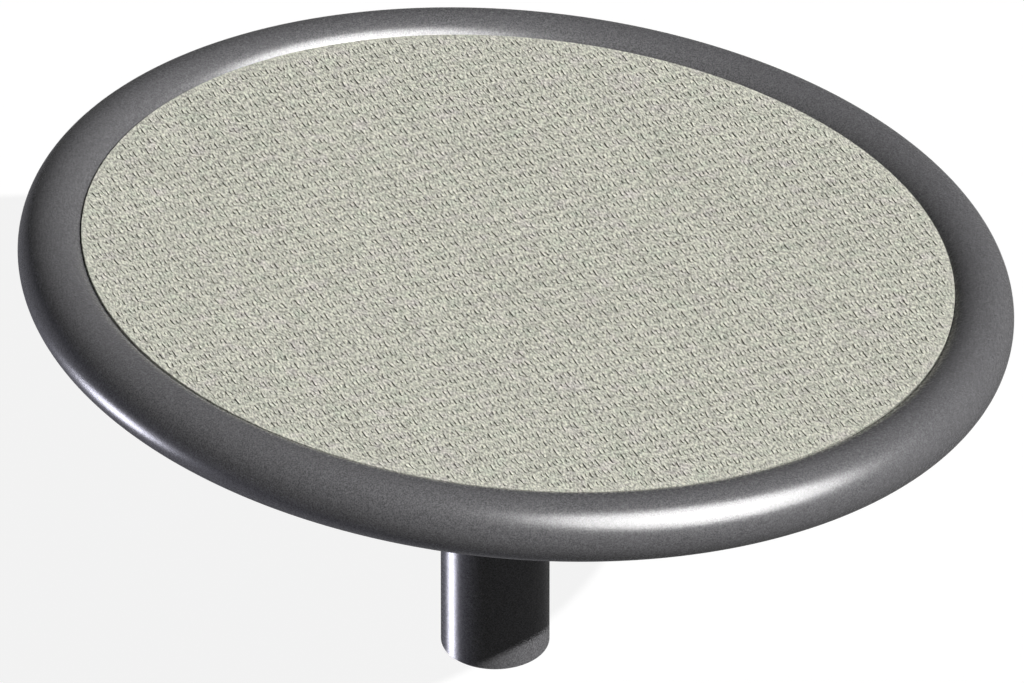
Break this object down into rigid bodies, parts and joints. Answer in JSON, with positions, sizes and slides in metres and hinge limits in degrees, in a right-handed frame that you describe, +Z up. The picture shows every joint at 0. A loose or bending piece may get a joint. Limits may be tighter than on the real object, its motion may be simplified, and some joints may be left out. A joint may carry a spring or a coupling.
{
  "type": "outdoor waist twister",
  "caption": "Round standing disc on a leaning axle: textured deck set in a round tube rim, spinning on a short upright post.",
  "frame": {"origin": "centre of the post's foot, on the ground", "axes": "+Z up along the post, +X the way the disc leans down, Y level across the disc"},
  "size_m": [0.9223, 0.9272, 0.4729],
  "materials": {
    "rim_paint": "dark grey powder coat, semi-gloss, fine grain",
    "post_paint": "dark grey powder coat, semi-gloss",
    "spider_paint": "dark grey powder coat, satin",
    "hub_paint": "dark grey powder coat on a cast hub, satin",
    "deck_grit": "light beige grey non-slip surface with a stippled pattern",
    "deck_board": "pressed laminate board, satin",
    "axle_steel": "turned steel",
    "bearing_steel": "ground bearing steel",
    "cage_brass": "turned brass",
    "spring_steel": "blackened spring steel",
    "zinc_steel": "zinc plated steel",
    "insert_brass": "plain brass",
    "seal_rubber": "black nitrile rubber",
    "cap_plastic": "black moulded plastic"
  },
  "bodies": {
    "post": {"post_tube": "post_paint", "foot_plate": "post_paint", "guide_plate": "post_paint", "head_plate": "post_paint", "spindle": "axle_steel", "bearing_spacer": "axle_steel", "lower_bearing_inner_ring": "bearing_steel", "upper_bearing_inner_ring": "bearing_steel", "tab_washer": "zinc_steel", "lock_nut": "zinc_steel"},
    "disc": {"rim_tube": "rim_paint", "deck_surface": "deck_grit", "deck_panel": "deck_board", "lower_bearing_outer_ring": "bearing_steel", "upper_bearing_outer_ring": "bearing_steel", "hub_housing": "hub_paint", "spider_plate": "spider_paint", "spider_ring": "spider_paint", "bearing_circlip": "spring_steel", "shaft_seal": "seal_rubber", "hub_cap": "cap_plastic", "grease_nipple": "zinc_steel", "hub_bolts": "zinc_steel", "hub_washers": "zinc_steel", "hub_nuts": "zinc_steel", "deck_bolts": "zinc_steel", "deck_washers": "zinc_steel", "deck_inserts": "insert_brass", "spider_arm_1": "spider_paint", "spider_arm_2": "spider_paint", "spider_arm_3": "spider_paint", "spider_arm_4": "spider_paint", "spider_arm_5": "spider_paint", "spider_arm_6": "spider_paint", "deck_ledge_1": "spider_paint", "deck_ledge_2": "spider_paint", "deck_ledge_3": "spider_paint", "deck_ledge_4": "spider_paint", "deck_ledge_5": "spider_paint", "deck_ledge_6": "spider_paint"},
    "lower_ball_set": {"lower_bearing_balls": "bearing_steel", "lower_bearing_cage": "cage_brass"},
    "upper_ball_set": {"upper_bearing_balls": "bearing_steel", "upper_bearing_cage": "cage_brass"}
  },
  "joints": [
    {"name": "disc_spin", "type": "hinge", "parent": "post", "child": "disc", "pos_m": [0.02386, 0, 0.396], "axis": [0.1045, 0, 0.9945], "continuous": true},
    {"name": "lower_ball_roll", "type": "hinge", "parent": "post", "child": "lower_ball_set", "pos_m": [0.02386, 0, 0.396], "axis": [0.1045, 0, 0.9945], "continuous": true},
    {"name": "upper_ball_roll", "type": "hinge", "parent": "post", "child": "upper_ball_set", "pos_m": [0.02386, 0, 0.396], "axis": [0.1045, 0, 0.9945], "continuous": true}
  ],
  "couplings": [
    {"joint": "lower_ball_roll", "follows": "disc_spin", "ratio": 0.6},
    {"joint": "upper_ball_roll", "follows": "disc_spin", "ratio": 0.6}
  ]
}
